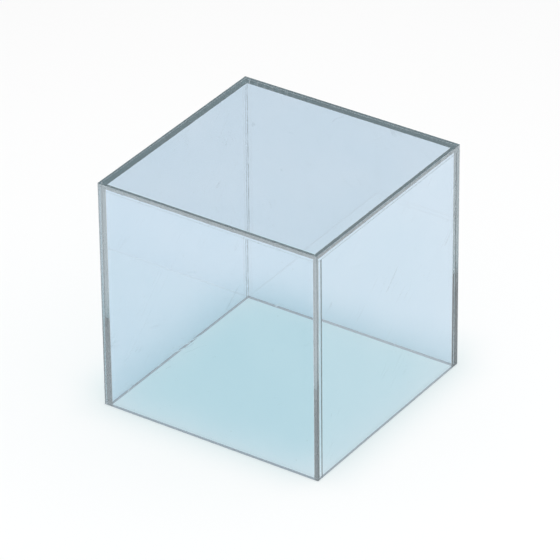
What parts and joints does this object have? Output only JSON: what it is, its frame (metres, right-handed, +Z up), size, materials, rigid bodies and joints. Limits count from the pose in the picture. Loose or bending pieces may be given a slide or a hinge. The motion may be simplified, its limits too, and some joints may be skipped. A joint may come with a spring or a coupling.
{
  "type": "acrylic display cube",
  "caption": "Clear acrylic cube, closed on top and open below, with cemented walls, that stands over or under a small exhibit.",
  "frame": {"origin": "centre of the square footprint, on the surface the cube stands on", "axes": "+Z up through the closed top; +X to the right and -Y out of the front wall; the front and back walls run the full width and cover the ends of the side walls"},
  "size_m": [0.15, 0.15, 0.15],
  "materials": {
    "acrylic_sheet": "clear with a faint blue tint, faces and edges polished",
    "acrylic_cement": "clear, slightly greyer than the sheet"
  },
  "bodies": {
    "root": {"top_panel": "acrylic_sheet", "front_panel": "acrylic_sheet", "back_panel": "acrylic_sheet", "left_panel": "acrylic_sheet", "right_panel": "acrylic_sheet", "cement_front_left": "acrylic_cement", "cement_front_right": "acrylic_cement", "cement_back_left": "acrylic_cement", "cement_back_right": "acrylic_cement", "cement_top_front": "acrylic_cement", "cement_top_back": "acrylic_cement", "cement_top_left": "acrylic_cement", "cement_top_right": "acrylic_cement"}
  },
  "joints": []
}
